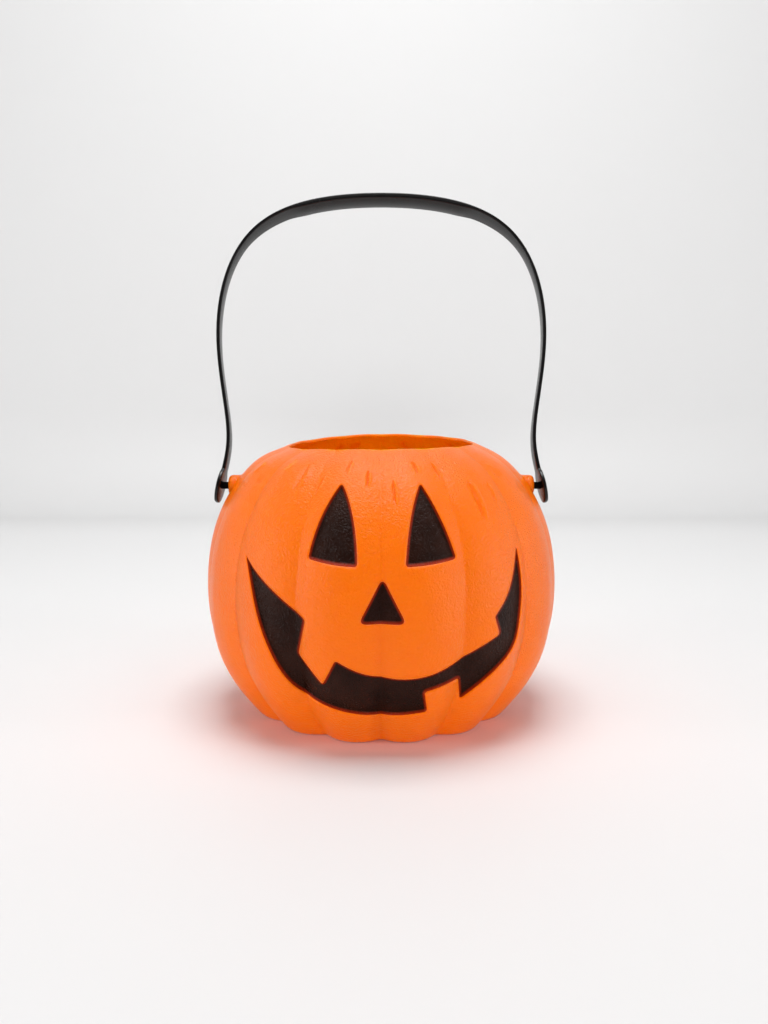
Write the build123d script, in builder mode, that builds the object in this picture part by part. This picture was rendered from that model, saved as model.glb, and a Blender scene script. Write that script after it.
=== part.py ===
"""Pumpkin candy pail: a lobed hollow shell with a sunken jack-o'-lantern face, and a swinging strap handle.

Millimetres, +Z up. The pail stands on z = 0, its face looks towards -Y and +X is the viewer's right.
"""
import os
from math import cos, pi, radians, sin, sqrt, tan

from build123d import *

# Shell
crest_radius = 108.7
shell_height = 165.8
mouth_radius = 57.5
wall = 1.8
lobe_count = 14
foot_valley = 6.9
belly_valley = 3.3
rim_valley = 0.4
valley_round = 2.5
lip_slope = radians(24)
foot_ring_width = 8.0
foot_panel_rise = 4.0
foot_panel_draft = 20.0

# Face
recess_depth = 2.6
corner_round = 1.6
tip_round = 0.5
paint_thickness = 0.3
paint_gap = 0.2

# Hinge
pivot_drop = 28.8
boss_radius = 6.5
boss_depth = 15.0
boss_round = 2.4
pin_radius = 2.2
pin_clearance = 0.3
pin_reach = 3.8
pin_end_play = 0.5
snap_lip = 0.8
snap_length = 3.2
snap_draft = 20.0

# Handle, drawn leaning back as it stands in the photograph; rises are measured from the hinge
lean = radians(18)
disc_radius = 10.8
disc_tilt = radians(12)
disc_clearance = 0.5
strap_thickness = 2.5
strap_width = 11.0
neck_round = 1.2
waist_inset = 4.3
waist_rise = 24.0
calf_inset = 2.2
calf_rise = 50.0
bulge_outset = 3.8
bulge_rise = 102.0
corner_inset = 13.7
corner_rise = 162.2
grip_rise = 190.4
grip_length = 122.0
grip_width = 14.6
grip_thickness = 3.4
flare_start_drop = 12.5
flare_end_drop = 6.5

# Shape of the crest profile between foot and lip, as shares of the crest radius and of the shell height
foot_edge = (0.702, 0.000)
heel = (0.758, 0.026)
flank = (0.949, 0.224)
belly = (0.997, 0.516)
shoulder = (0.906, 0.754)
neck = (0.635, 0.959)

# Shape of the face, as shares of the crest radius and of the shell height: an eye's corners take turns with
# the middles of its sides, a tooth or a notch is a list of corners, and the rest are points of a curve
left_eye = ((-0.193, 0.892), (-0.135, 0.789), (-0.114, 0.645), (-0.232, 0.650), (-0.353, 0.662), (-0.292, 0.788))
right_eye = ((0.195, 0.892), (0.147, 0.789), (0.121, 0.645), (0.240, 0.650), (0.367, 0.661), (0.293, 0.784))
nose = ((0.009, 0.610), (0.125, 0.464), (-0.108, 0.464))
mouth_left_tip = (-0.685, 0.645)
mouth_right_tip = (0.692, 0.671)
left_lip = (-0.581, 0.574)
upper_tooth = ((-0.372, 0.466), (-0.410, 0.345), (-0.288, 0.250), (-0.222, 0.342))
smile = ((-0.069, 0.292), (0.082, 0.277), (0.260, 0.292), (0.439, 0.343))
cheek_notch = ((0.598, 0.399), (0.570, 0.461))
right_lip = ((0.630, 0.518), (0.667, 0.585))
right_jaw = ((0.718, 0.530), (0.706, 0.422), (0.681, 0.351), (0.575, 0.272))
lower_tooth = ((0.401, 0.172), (0.388, 0.258), (0.214, 0.229), (0.231, 0.149))
chin = ((0.115, 0.138), (0.006, 0.130), (-0.131, 0.143), (-0.314, 0.177), (-0.408, 0.208))
left_jaw = ((-0.538, 0.320), (-0.624, 0.470), (-0.668, 0.599))
tip_share = 0.65

# Fineness of the lofts and of redrawn curves
station_count = 14
edge_samples = 10

# Sizes that follow from the ones above
pivot_height = shell_height - pivot_drop
bore_radius = pin_radius + pin_clearance
foot_panel_radius = foot_edge[0] * crest_radius - foot_valley - foot_ring_width
face_tool_start = crest_radius / 3

os.makedirs("parts", exist_ok=True)


def on_shell(share):
    """Turn a place given as shares of the crest radius and of the shell height into millimetres."""
    return (share[0] * crest_radius, share[1] * shell_height)


with BuildLine() as crest_profile:
    Spline(
        [on_shell(share) for share in (foot_edge, heel, flank, belly, shoulder, neck)]
        + [(mouth_radius - wall, shell_height)],
        tangents=[(1, 0), (-cos(lip_slope), sin(lip_slope))],
    )


def crest_at(level):
    """Return the crest radius of the outer skin at a height, by halving the stretch of profile that holds it."""
    low = 0.0
    high = 1.0
    for _ in range(40):
        middle = (low + high) / 2
        if (crest_profile.line @ middle).Y < level:
            low = middle
        else:
            high = middle
    return (crest_profile.line @ low).X


def valley_depth(level):
    """Return how far a valley lies inside the crests, at a height of the outer skin."""
    belly_level = belly[1] * shell_height
    if level < belly_level:
        return foot_valley + (belly_valley - foot_valley) * level / belly_level
    left = max(0.0, shell_height - level) / (shell_height - belly_level)
    return max(rim_valley, belly_valley * sqrt(left))


def lobed_body(inset):
    """Return the lobed body as a solid, with its whole skin moved inwards by the inset."""
    half_lobe = pi / lobe_count
    with BuildPart() as body:
        for station in range(station_count):
            along = station / (station_count - 1)
            skin = crest_profile.line @ along
            run = crest_profile.line % along
            crest = skin.X - inset * run.Y
            level = skin.Y + inset * run.X
            valley = crest - valley_depth(skin.Y)
            with BuildSketch(Plane.XY.offset(level)) as section:
                with BuildLine():
                    for lobe in range(lobe_count):
                        start = -pi / 2 + 2 * lobe * half_lobe
                        top = start + half_lobe
                        end = top + half_lobe
                        ThreePointArc(
                            (valley * cos(start), valley * sin(start)),
                            (crest * cos(top), crest * sin(top)),
                            (valley * cos(end), valley * sin(end)),
                        )
                make_face()
                fillet(section.vertices(), valley_round)
        loft()
    return body.part


def draw_eye(shares):
    """Draw a three-cornered eye with bowed sides."""
    points = [on_shell(share) for share in shares]
    for corner in range(0, len(points), 2):
        ThreePointArc(points[corner], points[corner + 1], points[(corner + 2) % len(points)])


def draw_left_eye():
    """Draw the left eye."""
    draw_eye(left_eye)


def draw_right_eye():
    """Draw the right eye."""
    draw_eye(right_eye)


def draw_nose():
    """Draw the three-cornered nose."""
    Polyline([on_shell(share) for share in nose], close=True)


def draw_mouth():
    """Draw the grin: one tooth hangs from its upper edge and one stands on its lower edge."""
    left_tip = on_shell(mouth_left_tip)
    right_tip = on_shell(mouth_right_tip)
    hanging = [on_shell(share) for share in upper_tooth]
    notch = [on_shell(share) for share in cheek_notch]
    standing = [on_shell(share) for share in lower_tooth]
    ThreePointArc(left_tip, on_shell(left_lip), hanging[0])
    Polyline(hanging)
    Spline([hanging[-1]] + [on_shell(share) for share in smile] + [notch[0]])
    Polyline(notch)
    Spline([notch[-1]] + [on_shell(share) for share in right_lip] + [right_tip])
    Spline([right_tip] + [on_shell(share) for share in right_jaw] + [standing[0]])
    Polyline(standing)
    Spline([standing[-1]] + [on_shell(share) for share in chin + left_jaw] + [left_tip])


def face_outline(draw):
    """Return the face of the drawn outline with its corners rounded and its sharp tips only blunted."""
    with BuildSketch() as outline:
        with BuildLine():
            draw()
        make_face()
        tips = outline.vertices().filter_by(lambda corner: abs(corner.X) > tip_share * crest_radius)
        fillet(outline.vertices() - tips, corner_round)
        if tips:
            ends = outline.vertices().sort_by(Axis.X)
            fillet([ends[0], ends[-1]], tip_round)
    return outline.sketch


def draw_moved_edge(outline, grow):
    """Draw the edge of an outline moved outwards by grow, each curved stretch as a new spline."""
    for edge in offset(outline, amount=grow, mode=Mode.PRIVATE).edges():
        if edge.geom_type == GeomType.LINE:
            Line(edge @ 0, edge @ 1)
        else:
            Spline([edge @ (step / edge_samples) for step in range(edge_samples + 1)])


def face_prism(draw, grow=0.0):
    """Return a prism along Y with the drawn outline, its edge moved outwards by grow."""
    outline = face_outline(draw)
    with BuildPart() as prism:
        with BuildSketch(Plane.XZ.offset(face_tool_start)):
            if grow:
                with BuildLine():
                    draw_moved_edge(outline, grow)
                make_face()
            else:
                add(outline)
        extrude(amount=crest_radius - face_tool_start)
    return prism.part


def hinge_plane(side, reach):
    """Return a plane across the hinge axis at a distance from the middle, facing outwards on that side."""
    return Plane(origin=(side * reach, 0, pivot_height), x_dir=(0, 1, 0), z_dir=(side, 0, 0))


disc_face = crest_at(pivot_height - disc_radius) + disc_clearance
disc_reach = disc_face + strap_thickness / 2
boss_reach = disc_face - pin_reach
boss_root = boss_reach - boss_depth
features = {"left_eye": draw_left_eye, "right_eye": draw_right_eye, "nose": draw_nose, "mouth": draw_mouth}

with BuildPart() as recesses:
    for draw in features.values():
        add(face_prism(draw))
    add(lobed_body(recess_depth), mode=Mode.SUBTRACT)

with BuildPart() as recess_backs:
    for draw in features.values():
        add(face_prism(draw, wall))
    add(lobed_body(recess_depth + wall), mode=Mode.SUBTRACT)

with BuildPart() as cavity:
    add(lobed_body(wall))
    add(recess_backs.part, mode=Mode.SUBTRACT)
    with BuildSketch(Plane.XY):
        Circle(foot_panel_radius + wall)
    extrude(amount=foot_panel_rise + wall, taper=foot_panel_draft, mode=Mode.SUBTRACT)
    for side in (-1, 1):
        with BuildSketch(hinge_plane(side, boss_root)):
            Circle(boss_radius - wall)
        extrude(amount=boss_depth - wall)

with BuildPart() as pail_shell:
    for side in (-1, 1):
        with BuildSketch(hinge_plane(side, boss_root)):
            Circle(boss_radius)
        extrude(amount=boss_depth)
    boss_rims = pail_shell.edges().filter_by(GeomType.CIRCLE).group_by(Axis.X)
    fillet(boss_rims[0] + boss_rims[-1], boss_round)
    add(lobed_body(0))
    add(recesses.part, mode=Mode.SUBTRACT)
    add(cavity.part, mode=Mode.SUBTRACT)
    with BuildSketch(Plane.XY.offset(pivot_height)):
        Circle(mouth_radius)
    extrude(amount=pivot_drop + wall, mode=Mode.SUBTRACT)
    with BuildSketch(Plane.XY):
        Circle(foot_panel_radius)
    extrude(amount=foot_panel_rise, taper=foot_panel_draft, mode=Mode.SUBTRACT)
    for side in (-1, 1):
        with BuildSketch(hinge_plane(side, boss_root)):
            Circle(bore_radius)
        extrude(amount=boss_depth, mode=Mode.SUBTRACT)

pail_shell.part.label = "pail_shell"
export_step(pail_shell.part, "parts/pail_shell.step")

paint_back = lobed_body(recess_depth - paint_gap)
paint_front = lobed_body(recess_depth - paint_gap - paint_thickness)
for name, draw in features.items():
    with BuildPart() as paint:
        add(face_prism(draw, -paint_gap))
        add(paint_front, mode=Mode.INTERSECT)
        add(paint_back, mode=Mode.SUBTRACT)
    paint.part.label = f"{name}_paint"
    export_step(paint.part, f"parts/{name}_paint.step")

handle_front = Plane(origin=(0, 0, pivot_height), x_dir=(1, 0, 0), z_dir=(0, -cos(lean), sin(lean)))
handle_side = Plane(origin=(0, 0, pivot_height), x_dir=(0, cos(lean), -sin(lean)), z_dir=(1, 0, 0))
disc_lean = disc_radius * tan(disc_tilt)
leg = [
    (disc_reach + disc_lean, -disc_radius),
    (disc_reach, 0),
    (disc_reach - disc_lean, disc_radius),
    (disc_reach - waist_inset, waist_rise),
    (disc_reach - calf_inset, calf_rise),
    (disc_reach + bulge_outset, bulge_rise),
    (disc_reach - corner_inset, corner_rise),
]
other_leg = [(-reach, rise) for reach, rise in reversed(leg)]

with BuildPart() as carry_handle:
    with BuildSketch(handle_front):
        with BuildLine():
            strap = Spline(leg + [(0, grip_rise)] + other_leg)
        trace(strap, line_width=strap_thickness)
        grip_drop = (grip_thickness - strap_thickness) / 2
        grip_share = grip_length / strap.length
        grip = Pos(0, -grip_drop) * strap.trim((1 - grip_share) / 2, (1 + grip_share) / 2)
        trace(grip, line_width=grip_thickness)
    extrude(amount=grip_width / 2, both=True)
    with BuildSketch(handle_side) as widths:
        Circle(disc_radius)
        with Locations((0, grip_rise / 2)):
            Rectangle(strap_width, grip_rise)
        fillet(widths.vertices().filter_by_position(Axis.Y, strap_width / 2, disc_radius), neck_round)
        with BuildLine():
            Polyline(
                (-strap_width / 2, grip_rise - flare_start_drop),
                (-grip_width / 2, grip_rise - flare_end_drop),
                (-grip_width / 2, grip_rise + grip_thickness),
                (grip_width / 2, grip_rise + grip_thickness),
                (grip_width / 2, grip_rise - flare_end_drop),
                (strap_width / 2, grip_rise - flare_start_drop),
                close=True,
            )
        make_face()
    extrude(amount=disc_reach + disc_radius, both=True, mode=Mode.INTERSECT)
    pin_start = boss_reach - wall - pin_end_play
    for side in (-1, 1):
        with BuildSketch(hinge_plane(side, pin_start)):
            Circle(pin_radius)
        extrude(amount=disc_reach - pin_start)
        with BuildSketch(hinge_plane(side, pin_start)):
            Circle(pin_radius + snap_lip)
        extrude(amount=-snap_length, taper=snap_draft)

carry_handle.part.label = "carry_handle"
export_step(carry_handle.part, "parts/carry_handle.step")
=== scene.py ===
"""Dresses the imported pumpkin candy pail: lobed shell, sunken painted face and swinging strap handle.

Sizes are in millimetres, as on the maker's drawing, and become metres where a mesh is made.
Angles round the pail are measured from the middle of the face towards the viewer's right.
"""

import logging
from dataclasses import dataclass, field
from enum import Enum
from math import cos, pi, radians, sin, tan

import bpy
import numpy as np
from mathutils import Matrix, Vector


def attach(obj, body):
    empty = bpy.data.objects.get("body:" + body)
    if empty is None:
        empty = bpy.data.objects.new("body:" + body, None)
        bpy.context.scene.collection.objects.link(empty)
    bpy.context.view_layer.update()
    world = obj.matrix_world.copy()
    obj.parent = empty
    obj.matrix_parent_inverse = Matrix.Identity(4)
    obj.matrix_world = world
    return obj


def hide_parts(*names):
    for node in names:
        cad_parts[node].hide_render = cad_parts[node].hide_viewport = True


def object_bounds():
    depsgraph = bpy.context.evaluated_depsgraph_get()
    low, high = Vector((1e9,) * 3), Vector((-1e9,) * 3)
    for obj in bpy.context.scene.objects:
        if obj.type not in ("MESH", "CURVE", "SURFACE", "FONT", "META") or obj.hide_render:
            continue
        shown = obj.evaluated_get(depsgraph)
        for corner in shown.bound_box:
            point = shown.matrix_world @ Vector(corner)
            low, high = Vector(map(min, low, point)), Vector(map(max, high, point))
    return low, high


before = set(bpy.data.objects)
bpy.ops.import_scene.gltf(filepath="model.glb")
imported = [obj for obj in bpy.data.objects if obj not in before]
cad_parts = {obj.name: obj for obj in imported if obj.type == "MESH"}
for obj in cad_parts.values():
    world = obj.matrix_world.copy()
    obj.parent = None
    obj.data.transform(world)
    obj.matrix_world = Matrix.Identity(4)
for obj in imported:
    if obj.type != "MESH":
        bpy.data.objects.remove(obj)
CAD_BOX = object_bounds()

LOG = logging.getLogger("candy_pail")
MM = 0.001
TINY = 1e-9
CURVE_POINTS = 6000
CORNER_POINTS = 8
LARGEST_ROUND = 0.45  # share of a side that a rounding may take

Array = np.ndarray
Pair = tuple[float, float]
Triple = tuple[float, float, float]
Piece = bpy.types.Object
Material = bpy.types.Material
Tree = bpy.types.NodeTree
Node = bpy.types.Node
Socket = bpy.types.NodeSocket


class Body(Enum):
    """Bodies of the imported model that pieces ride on."""

    PAIL = "pail"
    HANDLE = "handle"


class Slot(Enum):
    """Material slots of the record."""

    SHELL = "orange_shell"
    HANDLE = "black_handle"
    PAINT = "face_paint"


class Cut(Enum):
    """Ways to combine a mesh with a tool mesh."""

    JOIN = "UNION"
    REMOVE = "DIFFERENCE"


class Kind(Enum):
    """Kinds of socket that a shared node group has."""

    VALUE = "NodeSocketFloat"
    COLOUR = "NodeSocketColor"


# Curves and outlines


def ease(value: Array) -> Array:
    """Return a smooth step from 0 to 1 of values between 0 and 1."""
    held = np.clip(value, 0.0, 1.0)
    return held * held * (3.0 - 2.0 * held)


def bent(t: Array, start: Array, corner: Array, end: Array) -> Array:
    """Return places on the curve that leaves start towards a corner and comes from it to the end."""
    return (1.0 - t) ** 2 * start + 2.0 * t * (1.0 - t) * corner + t * t * end


def spline_points(knots: Array, count: int, start: Array | None = None, end: Array | None = None) -> Array:
    """Return points on a smooth curve through knots, evenly spread along its chords.

    Args:
        knots: Points that the curve passes, one a row.
        count: How many points to return.
        start: Direction at the first knot, or None for a free end.
        end: Direction at the last knot, or None for a free end.

    Returns:
        The points of the curve, one a row.
    """
    gaps = np.linalg.norm(np.diff(knots, axis=0), axis=1)
    marks = arc_lengths(knots)
    rises = np.diff(knots, axis=0) / gaps[:, None]
    last = len(knots) - 1
    system = np.zeros((last + 1, last + 1))
    wanted = np.zeros_like(knots)
    for i in range(1, last):
        system[i, i - 1 : i + 2] = gaps[i], 2.0 * (gaps[i - 1] + gaps[i]), gaps[i - 1]
        wanted[i] = 3.0 * (gaps[i] * rises[i - 1] + gaps[i - 1] * rises[i])
    for i, beside, rise, direction in ((0, 1, rises[0], start), (last, last - 1, rises[-1], end)):
        free = direction is None
        system[i, i] = 2.0 if free else 1.0
        system[i, beside] = 1.0 if free else 0.0
        wanted[i] = 3.0 * rise if free else direction
    slopes = np.linalg.solve(system, wanted)
    at = np.linspace(0.0, marks[-1], count)
    piece = np.clip(np.searchsorted(marks, at, side="right") - 1, 0, last - 1)
    gap = gaps[piece][:, None]
    t = (at[:, None] - marks[piece][:, None]) / gap
    return (
        (1.0 + 2.0 * t) * (1.0 - t) ** 2 * knots[piece]
        + t * (1.0 - t) ** 2 * gap * slopes[piece]
        + t * t * (3.0 - 2.0 * t) * knots[piece + 1]
        + t * t * (t - 1.0) * gap * slopes[piece + 1]
    )


def arc_points(start: Array, middle: Array, end: Array, count: int) -> Array:
    """Return points on the shallow arc from start through middle to end."""
    t = np.linspace(0.0, 1.0, count)[:, None]
    return bent(t, start, 2.0 * middle - (start + end) / 2.0, end)


def arc_lengths(points: Array) -> Array:
    """Return the distance of each point from the first one, along the line."""
    return np.concatenate(([0.0], np.cumsum(np.linalg.norm(np.diff(points, axis=0), axis=1))))


def along(points: Array, distances: Array) -> Array:
    """Return the points that lie at these distances along a line of points."""
    marks = arc_lengths(points)
    return np.stack([np.interp(distances, marks, column) for column in points.T], axis=1)


def rounded_loop(sides: list[Array], rounds: list[float], pitch: float) -> Array:
    """Join sides into one closed loop with rounded corners.

    Args:
        sides: The sides in order, each a dense row of points from corner to corner.
        rounds: How far the rounding at the start of each side reaches along both its sides.
        pitch: Distance between points along the sides.

    Returns:
        The points of the loop, one a row, without the first one repeated.
    """
    trimmed = []
    for i, side in enumerate(sides):
        length = arc_lengths(side)[-1]
        most = LARGEST_ROUND * length
        first = min(rounds[i], most)
        final = length - min(rounds[(i + 1) % len(sides)], most)
        count = max(2, int((final - first) / pitch))
        trimmed.append(along(side, np.linspace(first, final, count)))
    t = np.linspace(0.0, 1.0, CORNER_POINTS)[1:-1, None]
    pieces = []
    for i, side in enumerate(sides):
        pieces += [bent(t, trimmed[i - 1][-1], side[0], trimmed[i][0]), trimmed[i]]
    return np.concatenate(pieces)


def signed_distance(points: Array, loop: Array, batch: int = 5000) -> Array:
    """Return how far points lie outside a closed loop.

    Args:
        points: Points in the plane of the loop, one a row.
        loop: The closed loop, one point a row.
        batch: How many points are worked out at a time.

    Returns:
        The distance of each point from the loop, below zero inside it.
    """
    ends = np.roll(loop, -1, axis=0)
    runs = ends - loop
    lengths = (runs**2).sum(axis=1)
    slopes = runs[:, 0] / np.where(runs[:, 1] == 0.0, TINY, runs[:, 1])
    found = np.empty(len(points))
    for first in range(0, len(points), batch):
        here = points[first : first + batch]
        away_x = here[:, :1] - loop[:, 0]
        away_z = here[:, 1:] - loop[:, 1]
        share = np.clip((away_x * runs[:, 0] + away_z * runs[:, 1]) / lengths, 0.0, 1.0)
        near = ((away_x - share * runs[:, 0]) ** 2 + (away_z - share * runs[:, 1]) ** 2).min(axis=1)
        spans = (loop[:, 1] > here[:, 1:]) != (ends[:, 1] > here[:, 1:])
        crossed = (spans & (away_x < away_z * slopes)).sum(axis=1) % 2 == 1
        found[first : first + batch] = np.sqrt(near) * np.where(crossed, -1.0, 1.0)
    return found


# Meshes


def link_object(name: str, data: bpy.types.ID) -> Piece:
    """Return a new object with that data, put into the scene."""
    made = bpy.data.objects.new(name, data)
    bpy.context.scene.collection.objects.link(made)
    return made


@dataclass
class MeshDraft:
    """Points and polygons of a piece, gathered before its mesh is made."""

    points: list[Array] = field(default_factory=list)
    polygons: list[Array] = field(default_factory=list)
    count: int = 0

    def add_points(self, points: Array) -> int:
        """Add points, one a row, and return the number of the first one."""
        first = self.count
        self.points.append(np.asarray(points, dtype=float).reshape(-1, 3))
        self.count += len(self.points[-1])
        return first

    def add_polygons(self, polygons: Array) -> None:
        """Add polygons with one number of corners, one a row."""
        self.polygons.append(np.asarray(polygons, dtype=np.int32))

    def add_grid(self, grid: Array, around: bool = True) -> Array:
        """Add a grid of points and the quads between them.

        Args:
            grid: Points by row and column.
            around: Whether the last column is joined to the first one.

        Returns:
            The number of each point, by row and column.
        """
        rows, columns = grid.shape[:2]
        numbers = self.add_points(grid) + np.arange(rows * columns).reshape(rows, columns)
        beside = np.roll(numbers, -1, axis=1) if around else numbers[:, 1:]
        here = numbers if around else numbers[:, :-1]
        quads = np.stack([here[:-1], beside[:-1], beside[1:], here[1:]], axis=-1)
        self.add_polygons(quads.reshape(-1, 4))
        return numbers

    def add_tube(self, grid: Array, first_centre: Array, last_centre: Array) -> None:
        """Add a grid that is joined round, and close its first and last ring with fans to centres."""
        numbers = self.add_grid(grid)
        for ring, centre, first in ((numbers[0], first_centre, True), (numbers[-1], last_centre, False)):
            beside = np.roll(ring, -1)
            centres = np.full(len(ring), self.add_points(centre))
            order = [centres, beside, ring] if first else [ring, beside, centres]
            self.add_polygons(np.stack(order, axis=-1))

    def add_turned(self, rings: list[tuple[float, Array]], height: float, around: int) -> None:
        """Add a closed shape turned about the hinge line, at the left of the pail and at the right.

        Args:
            rings: Radius of each ring, and its distance from the pail's middle, as one or by point.
            height: Height of the hinge line.
            around: How many points a ring has.
        """
        turn = np.linspace(0.0, 2.0 * pi, around, endpoint=False)
        radius = np.array([ring[0] for ring in rings])[:, None]
        reach = np.array([np.broadcast_to(ring[1], around) for ring in rings])
        inwards = reach[0].min() > reach[-1].min()
        for side in (-1, 1):
            across = side * radius * np.cos(turn)
            grid = np.stack([side * reach, across, height + radius * np.sin(turn)], axis=-1)
            first, last = (np.array([side * reach[row].min(), 0.0, height]) for row in (0, -1))
            self.add_tube(grid[:, ::-1] if inwards else grid, first, last)

    def make(self, name: str) -> Piece:
        """Return a new object of that name, smooth and in metres."""
        points = np.concatenate(self.points) * MM
        corners = np.concatenate([part.ravel() for part in self.polygons])
        counts = np.concatenate([np.full(len(part), part.shape[1]) for part in self.polygons])
        starts = np.concatenate(([0], np.cumsum(counts)[:-1])).astype(np.int32)
        mesh = bpy.data.meshes.new(name)
        mesh.vertices.add(len(points))
        mesh.vertices.foreach_set("co", points.astype(np.float32).ravel())
        mesh.loops.add(len(corners))
        mesh.loops.foreach_set("vertex_index", corners)
        mesh.polygons.add(len(counts))
        mesh.polygons.foreach_set("loop_start", starts)
        mesh.update(calc_edges=True)
        mesh.validate()
        mesh.shade_smooth()
        return link_object(name, mesh)


def combine(piece: Piece, tool: Piece, cut: Cut) -> None:
    """Join a tool mesh to a piece, or take it away from it, and delete the tool."""
    change = piece.modifiers.new(cut.name.lower(), "BOOLEAN")
    change.operation = cut.value
    change.solver = "MANIFOLD"
    change.object = tool
    depsgraph = bpy.context.evaluated_depsgraph_get()
    finished = bpy.data.meshes.new_from_object(piece.evaluated_get(depsgraph))
    worn = piece.data
    piece.modifiers.clear()
    piece.data = finished
    finished.name = worn.name
    bpy.data.meshes.remove(worn)
    tool_mesh = tool.data
    bpy.data.objects.remove(tool)
    bpy.data.meshes.remove(tool_mesh)
    finished.shade_smooth()


def seat(piece: Piece, body: Body, material: Material, node: str) -> None:
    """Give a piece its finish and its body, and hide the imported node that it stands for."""
    piece.data.materials.clear()
    piece.data.materials.append(material)
    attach(piece, body.value)
    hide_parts(node)
    LOG.info("%s: %d faces, rides on %s", piece.name, len(piece.data.polygons), body.value)


# Finishes


def new_material(name: str) -> tuple[Material, Tree, Node]:
    """Return a new material with its node tree and its shader."""
    made = bpy.data.materials.new(name)
    made.use_nodes = True
    tree = made.node_tree
    return made, tree, next(node for node in tree.nodes if node.type == "BSDF_PRINCIPLED")


def mixed_colour(tree: Tree, share: Socket) -> Node:
    """Return a node that mixes colour A with colour B by a share."""
    mix = tree.nodes.new("ShaderNodeMix")
    mix.data_type = "RGBA"
    tree.links.new(share, mix.inputs["Factor"])
    return mix


class GroupDraft:
    """A shared node group while it is put together."""

    def __init__(self, name: str) -> None:
        """Start a group of that name, with the object's own coordinates as its place."""
        self.tree = bpy.data.node_groups.new(name, "ShaderNodeTree")
        self._inner = self.tree.nodes.new("NodeGroupInput")
        self._outer = self.tree.nodes.new("NodeGroupOutput")
        self.place = self.tree.nodes.new("ShaderNodeTexCoord").outputs["Object"]

    def take(self, name: str, kind: Kind = Kind.VALUE) -> Socket:
        """Add an input, which each finish sets, and return its socket."""
        self.tree.interface.new_socket(name, in_out="INPUT", socket_type=kind.value)
        return self._inner.outputs[name]

    def noise(self, scale: Socket, detail: float, place: Socket | None = None) -> Socket:
        """Return noise of a scale at a place, which is the group's own if none is given."""
        node = self.tree.nodes.new("ShaderNodeTexNoise")
        node.inputs["Detail"].default_value = detail
        self.tree.links.new(self.place if place is None else place, node.inputs["Vector"])
        self.tree.links.new(scale, node.inputs["Scale"])
        return node.outputs["Fac"]

    def math(self, operation: str, *values: Socket | float) -> Socket:
        """Return the result of a math node on sockets or plain numbers."""
        node = self.tree.nodes.new("ShaderNodeMath")
        node.operation = operation
        for socket, value in zip(node.inputs, values):
            if isinstance(value, bpy.types.NodeSocket):
                self.tree.links.new(value, socket)
            else:
                socket.default_value = value
        return node.outputs[0]

    def give(self, name: str, socket: Socket, kind: Kind = Kind.VALUE) -> Tree:
        """Add the group's output and return the finished group."""
        self.tree.interface.new_socket(name, in_out="OUTPUT", socket_type=kind.value)
        self.tree.links.new(socket, self._outer.inputs[name])
        return self.tree


@dataclass
class SharedGroups:
    """Node groups that all finishes use, each built once."""

    broad_share: float = 0.14
    grain_detail: Pair = (1.5, 2.0)
    tone_detail: float = 3.0
    marks_detail: Pair = (4.0, 2.0)
    scratch_stretch: Triple = (1.0, 1.0, 0.12)
    scratch_turn: Triple = (0.5, 0.35, 0.2)
    scratches_per_mark: float = 9.0
    scratch_power: float = 4.0
    tone_middle: float = 0.5
    marks_middle: float = 0.55

    def __post_init__(self) -> None:
        """Build the grain, the tone and the handling marks."""
        self.grain = self._moulded_grain()
        self.tone = self._tone_drift()
        self.marks = self._handling_marks()

    def _moulded_grain(self) -> Tree:
        """Return the orange-peel grain that a mould leaves: a Height for bumps."""
        group = GroupDraft("moulded_grain")
        grains = group.take("Grains per metre")
        waviness = group.take("Waviness")
        fine = group.noise(grains, self.grain_detail[0])
        broad = group.noise(group.math("MULTIPLY", grains, self.broad_share), self.grain_detail[1])
        return group.give("Height", group.math("ADD", fine, group.math("MULTIPLY", broad, waviness)))

    def _tone_drift(self) -> Tree:
        """Return the slow drift of a moulded or sprayed colour: a Colour near the one put in."""
        group = GroupDraft("tone_drift")
        colour = group.take("Colour", Kind.COLOUR)
        amount = group.take("Amount")
        patch = group.noise(group.take("Patches per metre"), self.tone_detail)
        swing = group.math("MULTIPLY", group.math("SUBTRACT", patch, self.tone_middle), amount)
        tint = group.tree.nodes.new("ShaderNodeHueSaturation")
        group.tree.links.new(colour, tint.inputs["Color"])
        group.tree.links.new(group.math("ADD", swing, 1.0), tint.inputs["Value"])
        return group.give("Colour", tint.outputs["Color"], Kind.COLOUR)

    def _handling_marks(self) -> Tree:
        """Return the dulling that hands and shelves leave: a Roughness round the one put in."""
        group = GroupDraft("handling_marks")
        roughness = group.take("Roughness")
        amount = group.take("Amount")
        marks = group.take("Marks per metre")
        smear = group.noise(marks, self.marks_detail[0])
        stretch = group.tree.nodes.new("ShaderNodeMapping")
        stretch.inputs["Scale"].default_value = self.scratch_stretch
        stretch.inputs["Rotation"].default_value = self.scratch_turn
        group.tree.links.new(group.place, stretch.inputs["Vector"])
        thin = group.math("MULTIPLY", marks, self.scratches_per_mark)
        scratch = group.noise(thin, self.marks_detail[1], stretch.outputs["Vector"])
        both = group.math("ADD", smear, group.math("POWER", scratch, self.scratch_power))
        swing = group.math("MULTIPLY", group.math("SUBTRACT", both, self.marks_middle), amount)
        return group.give("Roughness", group.math("ADD", roughness, swing))


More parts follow.
